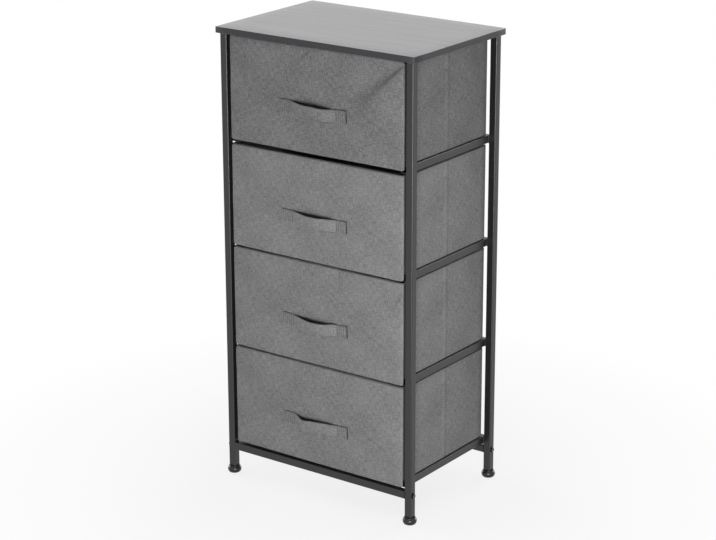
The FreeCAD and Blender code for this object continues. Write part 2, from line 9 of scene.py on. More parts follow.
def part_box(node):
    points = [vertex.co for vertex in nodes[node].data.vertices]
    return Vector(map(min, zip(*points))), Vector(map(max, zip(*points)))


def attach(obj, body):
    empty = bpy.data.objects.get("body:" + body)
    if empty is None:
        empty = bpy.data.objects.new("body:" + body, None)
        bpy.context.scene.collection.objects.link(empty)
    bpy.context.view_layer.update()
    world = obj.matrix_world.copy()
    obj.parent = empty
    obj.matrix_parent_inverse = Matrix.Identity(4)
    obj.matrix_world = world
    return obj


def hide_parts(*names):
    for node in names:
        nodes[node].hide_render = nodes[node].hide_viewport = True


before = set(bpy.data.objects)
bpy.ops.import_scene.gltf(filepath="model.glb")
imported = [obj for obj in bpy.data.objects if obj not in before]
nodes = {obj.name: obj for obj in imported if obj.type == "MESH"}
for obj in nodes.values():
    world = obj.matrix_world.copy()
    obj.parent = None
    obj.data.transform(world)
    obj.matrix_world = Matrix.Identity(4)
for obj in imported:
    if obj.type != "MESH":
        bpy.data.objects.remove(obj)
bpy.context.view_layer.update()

mm = 0.001
scene = bpy.context.scene
print("frame: %d nodes" % len(nodes))


# Node trees: a Socket takes Python's operators, and every other node comes from Tree.add.
class Socket:
    def __init__(self, tree, output):
        self.tree = tree
        self.output = output

    def __getitem__(self, name):  # another output of the same node
        return Socket(self.tree, self.output.node.outputs[name])

    def __add__(self, other):
        return self.tree.math("ADD", self, other)

    def __sub__(self, other):
        return self.tree.math("SUBTRACT", self, other)

    def __rsub__(self, other):
        return self.tree.math("SUBTRACT", other, self)

    def __mul__(self, other):
        return self.tree.math("MULTIPLY", self, other)

    def __truediv__(self, other):
        return self.tree.math("DIVIDE", self, other)

    __radd__ = __add__


class Tree:
    def __init__(self, group):
        self.group = group

    def add(self, kind, settings=None, values=()):  # values or links for the inputs, in order or by name
        node = self.group.nodes.new(kind)
        for key, value in (settings or {}).items():
            if key == "stops":
                ramp = node.color_ramp
                while len(ramp.elements) < len(value):
                    ramp.elements.new(0.5)
                for element, (place, level) in zip(ramp.elements, value):
                    element.position = place
                    element.color = (level, level, level, 1)
            else:
                setattr(node, key, value)
        ready = [socket for socket in node.inputs if socket.enabled]
        pairs = values.items() if isinstance(values, dict) else enumerate(values)
        for key, value in pairs:
            socket = ready[key] if isinstance(key, int) else next(s for s in ready if s.name == key)
            if isinstance(value, Socket):
                self.group.links.new(value.output, socket)
            else:
                socket.default_value = value
        outputs = [socket for socket in node.outputs if socket.enabled]
        return Socket(self, outputs[0]) if outputs else node

    def math(self, operation, *values):
        return self.add("ShaderNodeMath", {"operation": operation}, values)

    def vector(self, operation, *values):
        return self.add("ShaderNodeVectorMath", {"operation": operation}, values)


class Finish(Tree):  # one material and its nodes
    def __init__(self, name):
        self.material = bpy.data.materials.new(name)
        self.material.use_nodes = True
        self.material.node_tree.nodes.clear()
        super().__init__(self.material.node_tree)

    def place(self, *scale):  # millimetres over scale: the object's for three parts, the cloth's for two
        if len(scale) == 3:
            spot = self.add("ShaderNodeTexCoord")["Object"]
        else:
            spot = self.add("ShaderNodeUVMap", {"uv_map": "cloth"})
        return self.vector("MULTIPLY", spot, tuple(1000 / part for part in scale) + (0,) * (3 - len(scale)))

    def parted(self, *scale):
        return self.add("ShaderNodeSeparateXYZ", {}, [self.place(*scale)])

    def noise(self, scale, detail=2.0, rough=0.5):  # scale may also be a place
        spot = scale if isinstance(scale, Socket) else self.place(*scale)
        values = {"Vector": spot, "Scale": 1.0, "Detail": detail, "Roughness": rough}
        return self.add("ShaderNodeTexNoise", {}, values)["Fac"]

    def weave(self, pitch):  # bumps and hollows in turn, both ways over the cloth
        spot, turns = self.parted(1, 1), 2 * math.pi / pitch
        return self.math("SINE", spot["X"] * turns) * self.math("SINE", spot["Y"] * turns)

    def ramp(self, factor, *stops):
        return self.add("ShaderNodeValToRGB", {"stops": stops}, [factor])

    def mix(self, factor, first, second):
        return self.add("ShaderNodeMix", {"data_type": "RGBA"}, [factor, first, second])

    def bump(self, height, distance, strength):
        values = {"Height": height, "Distance": distance * mm, "Strength": strength}
        return self.add("ShaderNodeBump", {}, values)

    def skin(self, values):
        shader = self.add("ShaderNodeBsdfPrincipled", {}, values)
        self.add("ShaderNodeOutputMaterial", {}, {"Surface": shader})
        return self.material


def grey(level, warm=0.0, plum=0.0):  # by its screen level, warmed or cooled, and its green held back
    return tuple((((level + shift) / 255 + 0.055) / 1.055) ** 2.4 for shift in (warm, -plum, -warm)) + (1,)


# Finishes
# deep is the grey of the painted shade in the cloth's gaps
linen = {"dark": 89, "light": 138, "deep": 28, "slub": 11.0, "thread": 1.3, "fleck": 1.3, "broad": (90, 70),
         "weave": 1.1}


def linenCloth(name, shade=0.0):
    finish = Finish(name)
    # the point attribute carries painted light and shade, set for each drawer's cloth below
    tint = finish.add("ShaderNodeAttribute", {"attribute_name": "tint"})["Fac"]
    across = finish.noise((linen["slub"], linen["thread"]), 3.0, 0.6)
    along = finish.noise((linen["thread"], linen["slub"]), 3.0, 0.6)
    fleck = finish.noise((linen["fleck"], linen["fleck"]), 3.0, 0.65)
    broad = finish.noise(linen["broad"])
    yarn = across * 0.42 + along * 0.42 + fleck * 0.16
    mottle = finish.ramp(yarn + (broad - 0.5) * 0.14 + tint, (0.39, 0.0), (0.61, 1.0))
    dark, light = grey(linen["dark"] + shade, 0.3, 1.0), grey(linen["light"] + shade, -0.2, 1.0)
    shut = finish.ramp(tint + 0.5, (0.05, 1.0), (0.3, 0.0))  # painted shade, nearly black, in the gaps, under the rails and behind the straps
    return finish.skin({
        "Base Color": finish.mix(shut, finish.mix(mottle, dark, light), grey(linen["deep"])),
        "Roughness": 0.95 - mottle * 0.1, "Specular IOR Level": 0.25,
        "Sheen Weight": 0.12, "Sheen Roughness": 0.45,
        "Normal": finish.bump(finish.weave(linen["weave"]) * 0.25 + yarn * 1.5, 0.22, 0.8)})


def nonWoven(name):  # the lining: pressed fibres with rows of bonding points
    finish = Finish(name)
    fibres = finish.noise((1.4, 1.4), 4.0, 0.7)
    cloud = finish.noise((22, 22), 3.0)
    points = finish.ramp(finish.weave(1.9), (0.45, 0.0), (0.8, 1.0))
    colour = finish.mix(fibres * 0.55 + cloud * 0.45, grey(122), grey(154))
    return finish.skin({
        "Base Color": finish.mix(points * 0.35, colour, grey(84)), "Roughness": 0.88 - points * 0.25,
        "Specular IOR Level": 0.3, "Normal": finish.bump(fibres * 0.5 - points, 0.12, 0.7)})


board = {"tone": (114, 140), "pore": 60, "edge": (34, 48), "sway": 40.0, "radius": 0.8, "corner": 1.6,
         "spacing": 30.0}


def laminate(name):  # long figure, fine fibres and short pores, all swaying together
    finish = Finish(name)
    sway = finish.noise((260, 90, 90)) * board["sway"]

    def swayed(length, width, detail=2.0, rough=0.5):
        shift = finish.add("ShaderNodeCombineXYZ", {}, [0.0, sway / width, 0.0])
        return finish.noise(finish.vector("ADD", finish.place(length, width, width), shift), detail, rough)
    figure = finish.ramp(swayed(260, 8, 3.0, 0.6), (0.38, 0.0), (0.62, 1.0))
    fibre = finish.ramp(swayed(120, 1.5), (0.35, 0.0), (0.65, 1.0))
    pores = finish.ramp(swayed(14, 0.6), (0.30, 1.0), (0.42, 0.0))
    colour = finish.mix(figure * 0.45 + fibre * 0.55, *(grey(tone, -0.5, 3) for tone in board["tone"]))
    return finish.skin({
        "Base Color": finish.mix(pores * 0.3, colour, grey(board["pore"])),
        "Roughness": 0.33 + fibre * 0.06 + pores * 0.1, "Specular IOR Level": 0.5,
        "Coat Weight": 0.57 + figure * 0.06 - pores * 0.2, "Coat Roughness": 0.24,
        "Normal": finish.bump(fibre * 0.3 - pores, 0.03, 0.6)})


def powderCoat(name, low, high):
    finish = Finish(name)
    peel = finish.noise((1.5, 1.5, 1.5))
    fine = finish.noise((0.35, 0.35, 0.35))
    drift = finish.noise((60, 60, 60))
    return finish.skin({
        "Base Color": finish.mix(drift, grey(low, 0, 1), grey(high, 0, 1)), "Roughness": 0.31 + fine * 0.1,
        "Specular IOR Level": 0.54, "Normal": finish.bump(peel * 0.7 + fine * 0.3, 0.05, 0.5)})


screw = {"middle": 2.75, "reach": 136.5, "level": 58.0, "crown": 3.4, "rim": 4.3}


def blackedSteel(name):  # the crossbar screws: black zinc, with a painted highlight on the crowns and a painted shadow ring round them
    finish = Finish(name)
    speckle = finish.noise((1.2, 1.2, 1.2), 3.0, 0.6)
    spot = finish.parted(1, 1, 1)
    across = finish.math("ABSOLUTE", spot["Y"] - screw["middle"]) - screw["reach"]
    above = spot["Z"] - screw["level"]
    fromAxis = finish.math("SQRT", across * across + above * above)
    rim = finish.ramp(fromAxis / 10, (screw["crown"] / 10, 0.0), (screw["rim"] / 10, 1.0))  # a ramp ends at 1
    return finish.skin({
        "Base Color": finish.mix(rim, finish.mix(speckle, grey(84), grey(128)), grey(20)), "Metallic": 1.0,
        "Roughness": 0.24 + speckle * 0.15, "Normal": finish.bump(speckle, 0.03, 0.6)})


def plainFinish(name, grain, colours, rough, relief, tone=None, more=None):  # tone: the colour's own noise
    finish = Finish(name)
    fine = finish.noise(*grain)
    return finish.skin({
        "Base Color": finish.mix(finish.noise(*tone) if tone else fine, *colours),
        "Roughness": rough[0] + fine * rough[1], "Normal": finish.bump(fine, *relief), **(more or {})})


plain = {
    "edge": {"name": "board_edge_band", "grain": ((60, 60, 1.1), 4.0, 0.6), "rough": (0.42, 0.1),
             "colours": [grey(level, -2, 2) for level in board["edge"]], "relief": (0.03, 0.5),
             "more": {"Specular IOR Level": 0.4}},
    "plastic": {"name": "black_moulded_plastic", "grain": ((0.45, 0.45, 0.45), 3.0, 0.7),
                "tone": ((9, 9, 9),), "colours": (grey(12), grey(22)), "rough": (0.26, 0.14),
                "relief": (0.03, 0.6), "more": {"Specular IOR Level": 0.4}},
    "steel": {"name": "zinc_steel", "grain": ((0.3, 0.3, 6),), "tone": ((2.2, 2.2, 2.2), 3.0, 0.6),
              "colours": (grey(168, 1), grey(205, 1)), "rough": (0.28, 0.2), "relief": (0.02, 0.5),
              "more": {"Metallic": 1.0}},
    "fibre": {"name": "fibre_board", "grain": ((4, 0.8, 4), 4.0, 0.7), "rough": (0.9, 0.0),
              "colours": ((0.19, 0.125, 0.07, 1), (0.36, 0.26, 0.16, 1)), "relief": (0.1, 0.6)},
    "thread": {"name": "grey_thread", "grain": ((0.4, 0.4, 0.4),), "colours": (grey(84), grey(112)),
               "rough": (0.6, 0.2), "relief": (0.05, 0.5)}}
finishes = {key: plainFinish(**form) for key, form in plain.items()}
finishes.update({
    "linen": linenCloth("grey_linen"), "strap": linenCloth("grey_linen_strap", 1.0),
    "lining": nonWoven("lining_cloth"), "laminate": laminate("dark_laminate"),
    "paint": powderCoat("black_powder_coat", 19, 25), "weld": powderCoat("painted_weld", 16, 22),
    "screw": blackedSteel("black_zinc_screw")})
cadFinish = {
    "board_laminate": "laminate", "black_steel": "paint", "plain_steel": "steel", "black_plastic": "plastic",
    "grey_fabric": "linen", "lining_fabric": "lining", "stiff_board": "fibre"}
for node in nodes.values():
    for holder in node.material_slots:
        holder.material = finishes[cadFinish[holder.material.name]]
nodes["crossbar_screws"].material_slots[0].material = finishes["screw"]
print("finishes: %d materials" % len(finishes))


# Shares and bumps, for numbers and for arrays
def unit(value):
    return np.clip(value, 0, 1)


def eased(share):
    return share * share * (3 - 2 * share)


def bell(distance, width):
    return np.exp(-(distance / width) ** 2)


lattice = 64  # softNoise repeats after so many of its sizes


def softNoise(a, b, size, seed):
    levels = np.random.default_rng(seed).uniform(-1, 1, (lattice, lattice))
    i, j = a / size, b / size
    i0, j0 = np.floor(i).astype(int), np.floor(j).astype(int)
    s, t = (part ** 3 * (part * (6 * part - 15) + 10) for part in (i - i0, j - j0))

    def pick(p, q):
        return levels[p % lattice, q % lattice]
    low = (1 - t) * pick(i0, j0) + t * pick(i0, j0 + 1)
    high = (1 - t) * pick(i0 + 1, j0) + t * pick(i0 + 1, j0 + 1)
    return (1 - s) * low + s * high


def splineThrough(knots):  # a natural cubic through (x, y) knots
    x, y = (np.array(part, float) for part in zip(*knots))
    count = len(x)
    gaps = np.diff(x)
    system, right = np.eye(count), np.zeros(count)
    for k in range(1, count - 1):
        system[k, k - 1:k + 2] = gaps[k - 1], 2 * (gaps[k - 1] + gaps[k]), gaps[k]
        right[k] = 3 * ((y[k + 1] - y[k]) / gaps[k] - (y[k] - y[k - 1]) / gaps[k - 1])
    bend = np.linalg.solve(system, right)

    def along(at):
        at = np.clip(at, x[0], x[-1])
        k = np.clip(np.searchsorted(x, at) - 1, 0, count - 2)
        step = at - x[k]
        slope = (y[k + 1] - y[k]) / gaps[k] - gaps[k] * (2 * bend[k] + bend[k + 1]) / 3
        return y[k] + step * (slope + step * (bend[k] + step * (bend[k + 1] - bend[k]) / (3 * gaps[k])))
    return along


def lengthsAlong(points):  # from the first point to each
    return np.r_[0, np.cumsum(np.linalg.norm(np.diff(points, axis=0), axis=1))]


def show(name, data):  # a new object in the scene
    holder = bpy.data.objects.new(name, data)
    scene.collection.objects.link(holder)
    return holder


def settle(piece):  # modifiers become the piece's plain mesh
    bpy.context.view_layer.update()
    view = bpy.context.evaluated_depsgraph_get()
    done = piece.evaluated_get(view)
    mesh = bpy.data.meshes.new_from_object(done, preserve_all_data_layers=True, depsgraph=view)
    piece.modifiers.clear()
    piece.data = mesh


def thicken(piece, wall):  # a sheet gets a wall behind its faces
    solid = piece.modifiers.new("wall", "SOLIDIFY")
    solid.thickness, solid.offset = wall * mm, -1
    settle(piece)


def joined(pieces, name):
    first = pieces[0]
    with bpy.context.temp_override(active_object=first, object=first, selected_objects=pieces,
                                   selected_editable_objects=pieces):
        bpy.ops.object.join()
    first.name = first.data.name = name
    return first


# Sewing: grids of points in millimetres, joined along the edges that they share
class Sewing:
    merge, flat = 0.002, 0.001  # points this near become one, and edges this short go

    def __init__(self):
        self.points, self.faces, self.cloth, self.slots = [], [], [], []
        self.count = 0

    def grid(self, points, cloth, flip=False, slot=0):
        rows, columns = points.shape[:2]
        index = np.arange(rows * columns).reshape(rows, columns)
        quads = np.stack([index[:-1, :-1], index[:-1, 1:], index[1:, 1:], index[1:, :-1]], -1).reshape(-1, 4)
        if flip:
            quads = quads[:, ::-1]
        self.cloth.append(cloth.reshape(-1, 2)[quads].reshape(-1, 2))
        self.points.append(points.reshape(-1, 3))
        self.faces.append(quads + self.count)
        self.slots.append(np.full(len(quads), slot))
        self.count += rows * columns

    def finish(self, name, materials, origin=(0, 0, 0), outwards=True):
        mesh = bpy.data.meshes.new(name)
        points = (np.concatenate(self.points) + np.array(origin)) * mm
        mesh.from_pydata(points.tolist(), [], np.concatenate(self.faces).tolist())
        layer = mesh.uv_layers.new(name="cloth")
        layer.data.foreach_set("uv", (np.concatenate(self.cloth) * mm).ravel())
        mesh.polygons.foreach_set("material_index", np.concatenate(self.slots).astype(np.int32))
        work = bmesh.new()
        work.from_mesh(mesh)
        bmesh.ops.remove_doubles(work, verts=work.verts, dist=self.merge * mm)
        bmesh.ops.dissolve_degenerate(work, dist=self.flat * mm, edges=work.edges)
        if outwards:
            bmesh.ops.recalc_face_normals(work, faces=work.faces)
        work.to_mesh(mesh)
        work.free()
        mesh.polygons.foreach_set("use_smooth", [True] * len(mesh.polygons))
        for material in materials:
            mesh.materials.append(finishes[material])
        return show(name, mesh)


def blockSteps(low, high, radius, spacing, steps):  # even steps round both rounded ends
    ends = radius * (1 - np.tan(np.linspace(math.pi / 4, 0, steps + 1)))
    count = max(2, round((high - low - 2 * radius) / spacing) + 1)
    middle = np.linspace(low + radius, high - radius, count)
    return np.concatenate([low + ends[:-1], middle, high - ends[:-1][::-1]])


def roundedBlock(sewing, low, high, radius, spacing, shape, slots=(0, 0, 0), steps=3):
    low, high = np.array(low, float), np.array(high, float)
    for axis in range(3):
        u, v = (axis + 1) % 3, (axis + 2) % 3
        us, vs = (blockSteps(low[k], high[k], radius, spacing, steps) for k in (u, v))
        for side in (0, 1):
            point = np.zeros((len(us), len(vs), 3))
            point[..., u], point[..., v], point[..., axis] = us[:, None], vs[None], (low, high)[side][axis]
            inner = np.clip(point, low + radius, high - radius)
            normal = point - inner
            normal /= np.linalg.norm(normal, axis=-1, keepdims=True)
            depth = point[..., 1] - low[1]
            x, z = point[..., 0], point[..., 2]
            if axis == 0:
                x = (low[0] - depth) if side == 0 else (high[0] + depth)
            if axis == 2:
                z = (low[2] - depth) if side == 0 else (high[2] + depth)
            spot = shape(inner + radius * normal, normal)
            sewing.grid(spot, np.stack([x + 0 * z, z + 0 * x], -1), flip=side == 0, slot=slots[axis])


def roundCorners(spot, low, high, radius, plane):  # square corners onto arcs, in one plane
    pair = spot[..., plane]
    inner = np.clip(pair, np.array(low) + radius, np.array(high) - radius)
    away = pair - inner
    length = np.linalg.norm(away, axis=-1)
    square = np.abs(away).max(-1)
    scale = np.divide(square, length, out=np.ones_like(length), where=length > 1e-9)
    spot = spot.copy()
    spot[..., plane] = inner + away * scale[..., None]
    return spot


# Drawers: each front carries its own folds, given in millimetres across and up its panel
strapAt = (-75, -60, -48, -36, -22, -8, 5, 17, 29, 40, 52, 75)  # the places of each strap's heights
# each drawer's level is painted light and shade: the top drawer is painted darker
drawers = {
    1: {"base": 686, "floor": 10.2, "dye": -0.034, "rim": 195, "seed": 11,
        "folds": [{"line": [(203, 200), (155, 168), (133, 154), (103, 129), (84, 108), (78, 84)],
                   "height": 4.2, "width": 10, "open": 2.2},
                  {"line": [(-6, 197), (-30, 180), (-58, 170)], "height": 1, "width": 6},
                  {"line": [(190, 191), (150, 189), (110, 187)], "height": 0.4, "width": 4, "side": -1}],
        "puckers": [(22, 188, 14, -0.8), (-188, 184, 22, 0.6), (-80, 90, 38, -0.9), (34, 164, 28, -1.5),
                    (84, 164, 26, 1), (-120, 150, 34, 0.8)],
        "lower": [(-202, 0), (-120, 0.3), (0, 0), (120, 0.5), (202, 0.2)],
        "upper": [(-202, 0), (-60, -0.4), (60, 0.2), (202, -0.3)],
        "strap": (1.3, 1.7, 0.7, -0.1, -0.8, -1.2, -0.7, -1.4, -2.2, -2.4, -1.8, -0.9),
        "bow": [(-50, 0), (-42, 4), (-24, 9.8), (4, 13), (25, 12.8), (45, 0.8), (49, 0)]},
    2: {"base": 477.5, "floor": 15.2, "dye": 0.012, "rim": 200, "seed": 22,
        "folds": [{"line": [(20, 204), (10, 160), (24, 110)], "height": 1, "width": 10, "side": -1},
                  {"line": [(-190, 60), (-150, 20), (-120, 0)], "height": 0.6, "width": 12}],
        "puckers": [(150, 120, 40, -0.6), (-120, 60, 45, 0.7), (30, 30, 40, -0.6), (-60, 160, 36, 0.6)],
        "lower": [(-202, 0.4), (-60, -0.2), (100, 0), (160, 0), (184, 0.1), (203, 2.2)],
        "upper": [(-202, -0.3), (-80, 0.2), (80, -0.2), (202, 0.1)],
        "strap": (-0.5, -1.1, -1.6, -2.1, -2.6, -2.8, -2.6, -2.9, -2.1, -2, -2.3, -1.2),
        "bow": [(-50, 0), (-40, 3.6), (-12, 11.4), (8, 12.8), (40, 5.6), (48, 0)]},
    3: {"base": 274, "floor": 15.2, "dye": 0.004, "rim": 200, "seed": 33,
        "folds": [{"line": [(203, 190), (186, 168), (160, 138)], "height": 1.5, "width": 6},
                  {"line": [(54, 203), (52, 180), (50, 165)], "height": 1.2, "width": 5},
                  {"line": [(-14, 200), (0, 185), (18, 172)], "height": 0.9, "width": 8, "side": -1}],
        "puckers": [(-150, 40, 45, 0.6), (90, 60, 40, -0.5)],
        "lower": [(-202, 0.6), (-100, -0.2), (60, 0.2), (202, 0.4)],
        "upper": [(-202, 0.2), (-50, -0.2), (100, 0), (160, 0), (184, 0.1), (203, 1.6)],
        "strap": (-1.6, -2.6, -3.6, -4.2, -4.7, -5.5, -5.6, -5.3, -5.1, -3, -3.2, -1.6),
        "bow": [(-50, 0), (-40, 3.4), (-20, 9.6), (-4, 12.8), (14, 12.6), (42, 4.6), (48, 0)]},
    4: {"base": 70.5, "floor": 15.2, "dye": 0, "rim": 200, "seed": 44,
        "folds": [{"line": [(-202, 150), (-170, 175), (-150, 200)], "height": 0.6, "width": 10}],
        "puckers": [(60, 30, 50, 0.5), (150, 150, 40, -0.4)],
        "lower": [(-202, 0.5), (-90, 0.2), (50, -0.1), (202, 0.3)],
        "upper": [(-202, 0), (-100, 0.2), (80, -0.3), (202, 0)],
        "strap": (-1, 0.1, -1.2, -4.5, -5.3, -4.2, -3.5, -3.4, -3.2, -3.3, -2.9, -1.3),
        "bow": [(-50, 0), (-38, 4.6), (-26, 11.6), (-16, 11.8), (10, 8.4), (40, 3), (48, 0)]}}
cover = {"front": -139.75, "wall": 0.8,
         "panel": 197.6, "height": 200, "slab": 5.4, "edge": 2.4, "corner": 4.5, "spacing": 2.2,
         "loft": 2.8, "roll": 12, "fade": 16, "wave": 0.6, "waveSizes": (74, 33), "deepest": -0.2,
         "sag": 14, "sway": 0.35, "swaySize": 46, "swayReach": 12,
         "half": 199.6, "start": 4, "rear": 270, "round": 1.7, "steps": 3.2, "bend": 1.6, "bulge": 1.2,
         "rim": ((-1.2, -4), (-1.2, -0.9), (-0.9, -0.3), (-0.5, 0), (-0.15, -0.2), (0, -0.8))}
# the last three place the painted shade on a fold's steep flank
crease = {"fade": 1.8, "tip": 0.2, "open": 1.3, "slack": 3.0, "crest": 1.9, "crestIn": 1.1, "crestOut": 2.2,
          "rise": 0.75, "pile": 0.011, "pileAt": 0.8, "pileWidth": 0.75}


def foldPlace(fold, x, z):  # where points lie across a fold, in its widths, and how much of it is left there
    nearest, signed, share = np.full(x.shape, np.inf), np.zeros(x.shape), np.zeros(x.shape)
    line = np.array(fold["line"], float)
    lengths = lengthsAlong(line)
    for k in range(len(line) - 1):
        run = line[k + 1] - line[k]
        t = unit(((x - line[k][0]) * run[0] + (z - line[k][1]) * run[1]) / (run @ run))
        dx, dz = x - line[k][0] - t * run[0], z - line[k][1] - t * run[1]
        distance = np.hypot(dx, dz)
        closer = distance < nearest
        nearest = np.where(closer, distance, nearest)
        signed = np.where(closer, np.sign(run[0] * dz - run[1] * dx) * distance, signed)
        share = np.where(closer, (lengths[k] + t * np.hypot(*run)) / lengths[-1], share)
    wide = fold["width"] * (crease["tip"] + fold.get("open", crease["open"]) * share)  # it opens on its way
    return signed * fold.get("side", 1) / wide, eased(unit((1 - share) * crease["fade"]))


def foldRelief(fold, x, z):  # a valley, steep on one flank and slack on the other, and a crest beside it
    lean, left = foldPlace(fold, x, z)
    valley = bell(np.where(lean > 0, lean, lean / crease["slack"]), 1)
    past = lean - crease["crest"]
    crest = bell(past, np.where(past > 0, crease["crestOut"], crease["crestIn"]))
    return fold["height"] * left * (crease["rise"] * crest - valley)


def foldShade(fold, x, z):  # painted shade on a fold's steep flank
    lean, left = foldPlace(fold, x, z)
    return crease["pile"] * fold["height"] * left * bell(lean - crease["pileAt"], crease["pileWidth"])


def frontRelief(spec, x, z):  # how far the front cloth stands out of its flat plane
    half, seed = cover["height"] / 2, spec["seed"]
    fromSide, fromEnd = np.maximum(cover["panel"] - np.abs(x), 0), np.maximum(half - np.abs(z - half), 0)
    fade = eased(unit(fromSide / cover["fade"]) * unit(fromEnd / cover["fade"]))
    out = cover["loft"] * (1 - np.exp(-fromSide / cover["roll"]))
    out = out * (1 - np.exp(-fromEnd / (0.7 * cover["roll"])))
    wide, small = cover["waveSizes"]
    waves = softNoise(x, z, wide, seed) + 0.45 * softNoise(x + 31, z, small, seed + 1)
    out = out + fade * cover["wave"] * waves
    for fold in spec["folds"]:
        out = out + foldRelief(fold, x, z)
    for middleX, middleZ, size, height in spec["puckers"]:
        out = out + height * np.exp(-((x - middleX) ** 2 + (z - middleZ) ** 2) / size ** 2) * fade
    return np.maximum(out, cover["deepest"])


def frontShape(spec):
    lower, upper = splineThrough(spec["lower"]), splineThrough(spec["upper"])
    panel, height, sag = cover["panel"], cover["height"], cover["sag"]

    def shape(spot, normal):
        spot = roundCorners(spot, (-panel, 0), (panel, height), cover["corner"], [0, 2])
        x, y, z = spot[..., 0], spot[..., 1], spot[..., 2]
        y = y - frontRelief(spec, x, z) * unit(-normal[..., 1])
        z = z + lower(x) * np.exp(-z / sag) + upper(x) * np.exp((z - height) / sag)
        sway = cover["sway"] * np.sign(x) * softNoise(z, z * 0, cover["swaySize"], spec["seed"] + 5)
        return np.stack([x + sway * np.exp((np.abs(x) - panel) / cover["swayReach"]), y, z], -1)
    return shape


def loopAround(half, front, rear, radius, spacing, steps=4):  # anticlockwise from the middle of the front
    corners = [((half - radius, front + radius), -90), ((half - radius, rear - radius), 0),
               ((radius - half, rear - radius), 90), ((radius - half, front + radius), 180)]
    points, outwards = [], []

    def run(start, end, outward, last=False):
        count = max(1, round(math.dist(start, end) / spacing))
        for k in range(count + last):
            points.append([a + (b - a) * k / count for a, b in zip(start, end)])
            outwards.append(outward)
    before = (0, front)
    for (x, y), angle in corners:
        first, last = math.radians(angle), math.radians(angle + 90)
        start = (x + radius * math.cos(first), y + radius * math.sin(first))
        run(before, start, (math.cos(first), math.sin(first)))
        for k in range(steps):
            turn = first + (last - first) * k / steps
            points.append((x + radius * math.cos(turn), y + radius * math.sin(turn)))
            outwards.append((math.cos(turn), math.sin(turn)))
        before = (x + radius * math.cos(last), y + radius * math.sin(last))
    run(before, (0, front), (0, -1), last=True)
    return np.array(points), np.array(outwards), lengthsAlong(points)


floorRings = (1.0, 0.94, 0.82, 0.66, 0.5, 0.34, 0.18, 0.04, 0.0)


def sweptTub(sewing, loop, profile, relief, keepFront=None):
    points, outwards, lengths = loop  # profile is (out, height) pairs from the rim to the floor
    profile = np.array(profile, float)
    out, height = profile[:, :1], profile[:, 1:]
    spot = np.zeros((len(profile), len(points), 3))
    spot[..., :2] = points + outwards * out[..., None]
    spot[..., 2] = height
    push = relief(spot, np.broadcast_to(outwards, spot.shape[:2] + (2,)))
    spot[..., :2] += outwards * push[..., None]
    if keepFront is not None:
        spot[..., 1] = np.maximum(spot[..., 1], keepFront)
    spot[:, -1] = spot[:, 0]
    sewing.grid(spot, np.stack(np.broadcast_arrays(lengths[None], -lengthsAlong(profile)[:, None]), -1))
    edge = spot[-1]
    middle = edge.mean(0)
    floor = np.stack([middle + (edge - middle) * share for share in floorRings])
    floor[..., 2] = edge[:, 2].mean()
    floor[0] = edge
    sewing.grid(floor, floor[..., :2])


leaf = {"start": 6, "length": 262, "swell": 0.55, "hinge": 136.5, "ridge": 1.2, "ridgeWidth": 6.5,
        "wave": 0.3, "waveSize": 62, "backHalf": 198}


def leafRelief(spec, amount, sign=1.0):  # the side leaves and the back swell between their edges
    half = (spec["rim"] - spec["floor"]) / 2
    middle = (spec["rim"] + spec["floor"]) / 2

    def relief(spot, outward):
        x, y, z = spot[..., 0], spot[..., 1], spot[..., 2]
        rise = np.abs((z - middle) / half)
        up, full = unit(1 - rise ** 3), unit(1 - rise ** 12)
        swell = leaf["swell"] * np.sin(math.pi * unit((y - leaf["start"]) / leaf["length"])) ** 0.6
        ridge = leaf["ridge"] * bell(y - leaf["hinge"], leaf["ridgeWidth"])  # where the side board folds
        sides = np.abs(outward[..., 0]) ** 4 * (swell + ridge * full / np.maximum(up, 0.05))
        back = unit(outward[..., 1]) ** 4 * unit(1 - np.abs(x / leaf["backHalf"]) ** 3)
        wave = leaf["wave"] * softNoise(y + x * 0.7, z, leaf["waveSize"], spec["seed"] + 7)
        wave = np.clip(wave * (sides + back) * up, -leaf["wave"], leaf["wave"])
        return sign * (amount * up * (sides + back) + wave)
    return relief


def pointsOf(piece, spec):  # a piece's points in its drawer's own millimetres
    points = np.zeros(len(piece.data.vertices) * 3)
    piece.data.vertices.foreach_get("co", points)
    return (points.reshape(-1, 3) / mm - (0, cover["front"], spec["base"])).T


# writes the painted light and shade onto the piece's points
def setPaintedLight(piece, tint):
    piece.data.attributes.new("tint", "FLOAT", "POINT").data.foreach_set("value", tint.astype(np.float32))


# how strongly each painted highlight and painted shade lightens or darkens the cloth
paintedLights = {"pale": 0.03, "dark": 0.07, "back": 0.13, "rim": 0.05, "side": 0.012, "shut": 0.4, "behind": 0.42,
         "above": 0.05, "under": 0.08, "row": 0.18, "strapEdge": 0.3}


